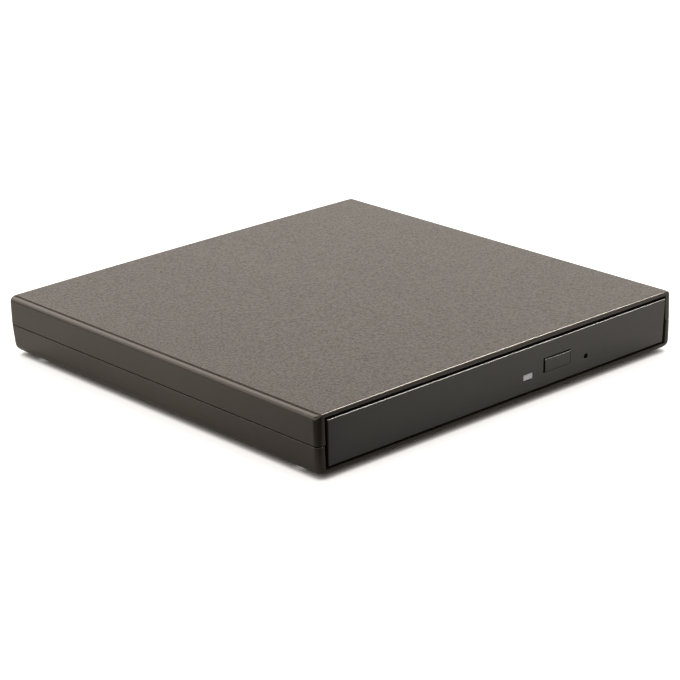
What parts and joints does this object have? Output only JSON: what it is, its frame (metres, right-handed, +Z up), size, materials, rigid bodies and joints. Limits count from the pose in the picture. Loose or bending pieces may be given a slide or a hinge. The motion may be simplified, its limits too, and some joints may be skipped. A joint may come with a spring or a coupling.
{
  "type": "external dvd drive",
  "caption": "Slim external disc drive in a two-part square case, with a pull-out tray on telescoping rails, eject button, status light and release hole.",
  "frame": {"origin": "middle of the footprint, on the surface that the feet stand on", "axes": "+X to the right seen from the front, +Y from the bezel to the rear sockets, +Z up"},
  "size_m": [0.145, 0.1488, 0.02],
  "materials": {
    "case_plastic": "fine spark-eroded texture on a dark warm grey, smoother on the sides",
    "bezel_plastic": "satin black moulding",
    "window_plastic": "pale translucent light pipe",
    "tray_plastic": "matt black moulding",
    "foot_rubber": "matt rubber",
    "screw_steel": "black zinc",
    "sheet_steel": "zinc-coated sheet",
    "frame_steel": "pressed steel",
    "cover_black": "black painted sheet",
    "rail_steel": "rolled steel strip",
    "rod_steel": "ground and polished",
    "guide_plastic": "natural low-friction moulding",
    "board_green": "solder mask over laminate",
    "connector_black": "moulded",
    "connector_white": "moulded",
    "chip_black": "moulded packages",
    "socket_metal": "tin-plated shell",
    "cable_film": "amber polyimide film",
    "led_lens": "clear resin",
    "bearing_brass": "sintered sleeve",
    "coil_copper": "enamelled winding",
    "hub_metal": "satin spun metal",
    "jaw_plastic": "moulded",
    "pickup_metal": "die-cast base",
    "lens_black": "moulded holder",
    "lens_glass": "coated lens"
  },
  "bodies": {
    "housing": {"top_cover": "case_plastic", "bottom_cover": "case_plastic", "rubber_feet": "foot_rubber", "case_screws": "screw_steel", "drive_chassis": "sheet_steel", "drive_top_plate": "sheet_steel", "top_plate_screws": "screw_steel", "drive_mount_screws": "screw_steel", "right_rail_guide": "guide_plastic", "left_rail_guide": "guide_plastic", "latch_post": "rail_steel", "rear_board": "board_green", "sata_plug": "connector_black", "bridge_board": "board_green", "sata_socket": "connector_black", "bridge_chips": "chip_black", "bridge_screws": "screw_steel", "usb_socket": "socket_metal", "usb_tongue": "connector_black", "tray_cable": "cable_film"},
    "tray": {"tray": "tray_plastic", "bezel": "bezel_plastic", "led_window": "window_plastic", "status_led": "led_lens", "front_board": "board_green", "eject_switch": "connector_black", "tray_board": "board_green", "tray_board_chips": "chip_black", "tray_cable_plug": "connector_white", "traverse_plate": "frame_steel", "traverse_dampers": "foot_rubber", "traverse_screws": "screw_steel", "guide_rods": "rod_steel", "feed_motor": "socket_metal", "spindle_stator": "frame_steel", "spindle_bearing": "bearing_brass", "mechanism_cover": "cover_black", "cover_screws": "screw_steel", "latch_pivot_pin": "rod_steel", "latch_yoke": "frame_steel", "latch_coil": "coil_copper", "ejector_plunger": "guide_plastic", "ejector_spring": "rod_steel"},
    "left_rail": {"left_rail": "rail_steel"},
    "right_rail": {"right_rail": "rail_steel"},
    "eject_button": {"eject_button": "bezel_plastic", "switch_plunger": "connector_white"},
    "turntable": {"turntable": "hub_metal", "turntable_ring": "foot_rubber", "spindle_shaft": "rod_steel"},
    "clamp_jaw_1": {"clamp_jaw_1": "jaw_plastic"},
    "clamp_jaw_2": {"clamp_jaw_2": "jaw_plastic"},
    "clamp_jaw_3": {"clamp_jaw_3": "jaw_plastic"},
    "pickup": {"pickup": "pickup_metal", "pickup_follower": "connector_white"},
    "lens": {"lens_holder": "lens_black", "objective_lens": "lens_glass"},
    "lead_screw": {"lead_screw": "rod_steel"},
    "latch_lever": {"latch_lever": "guide_plastic"},
    "release_slider": {"release_slider": "guide_plastic"}
  },
  "joints": [
    {"name": "tray_slide", "type": "slide", "parent": "housing", "child": "tray", "axis": [0, -1, 0], "range_m": [0, 0.1265], "deforming": ["tray_cable"]},
    {"name": "left_rail_slide", "type": "slide", "parent": "housing", "child": "left_rail", "axis": [0, -1, 0], "range_m": [0, 0.06325]},
    {"name": "right_rail_slide", "type": "slide", "parent": "housing", "child": "right_rail", "axis": [0, -1, 0], "range_m": [0, 0.06325]},
    {"name": "eject_button_press", "type": "slide", "parent": "tray", "child": "eject_button", "axis": [0, 1, 0], "range_m": [0, 0.0008], "stiffness_N_per_m": 900, "springref_m": -0.0002},
    {"name": "turntable_spin", "type": "hinge", "parent": "tray", "child": "turntable", "pos_m": [0, -0.0079, 0.0134], "axis": [0, 0, 1], "continuous": true},
    {"name": "pickup_slide", "type": "slide", "parent": "tray", "child": "pickup", "axis": [-0.7071, 0.7071, 0], "range_m": [0, 0.033]},
    {"name": "lead_screw_turn", "type": "hinge", "parent": "tray", "child": "lead_screw", "pos_m": [-0.02567, -0.00698, 0.0074], "axis": [-0.7071, 0.7071, 0], "continuous": true},
    {"name": "lens_focus", "type": "slide", "parent": "pickup", "child": "lens", "axis": [0, 0, 1], "range_m": [-0.0004, 0.0004], "stiffness_N_per_m": 60},
    {"name": "latch_lever_swing", "type": "hinge", "parent": "tray", "child": "latch_lever", "pos_m": [0.038, -0.046, 0.0057], "axis": [0, 0, 1], "range_deg": [0, 16]},
    {"name": "release_slider_push", "type": "slide", "parent": "tray", "child": "release_slider", "axis": [0, 1, 0], "range_m": [0, 0.003], "stiffness_N_per_m": 60, "springref_m": -0.0005},
    {"name": "clamp_jaw_1_slide", "type": "slide", "parent": "turntable", "child": "clamp_jaw_1", "axis": [0, -1, 0], "range_m": [0, 0.0006], "stiffness_N_per_m": 400, "springref_m": -0.0002},
    {"name": "clamp_jaw_2_slide", "type": "slide", "parent": "turntable", "child": "clamp_jaw_2", "axis": [0.866, 0.5, 0], "range_m": [0, 0.0006], "stiffness_N_per_m": 400, "springref_m": -0.0002},
    {"name": "clamp_jaw_3_slide", "type": "slide", "parent": "turntable", "child": "clamp_jaw_3", "axis": [-0.866, 0.5, 0], "range_m": [0, 0.0006], "stiffness_N_per_m": 400, "springref_m": -0.0002}
  ],
  "couplings": [
    {"joint": "left_rail_slide", "follows": "tray_slide", "ratio": 0.5},
    {"joint": "right_rail_slide", "follows": "tray_slide", "ratio": 0.5},
    {"joint": "lead_screw_turn", "follows": "pickup_slide", "rad_per_m": 2094.4}
  ]
}
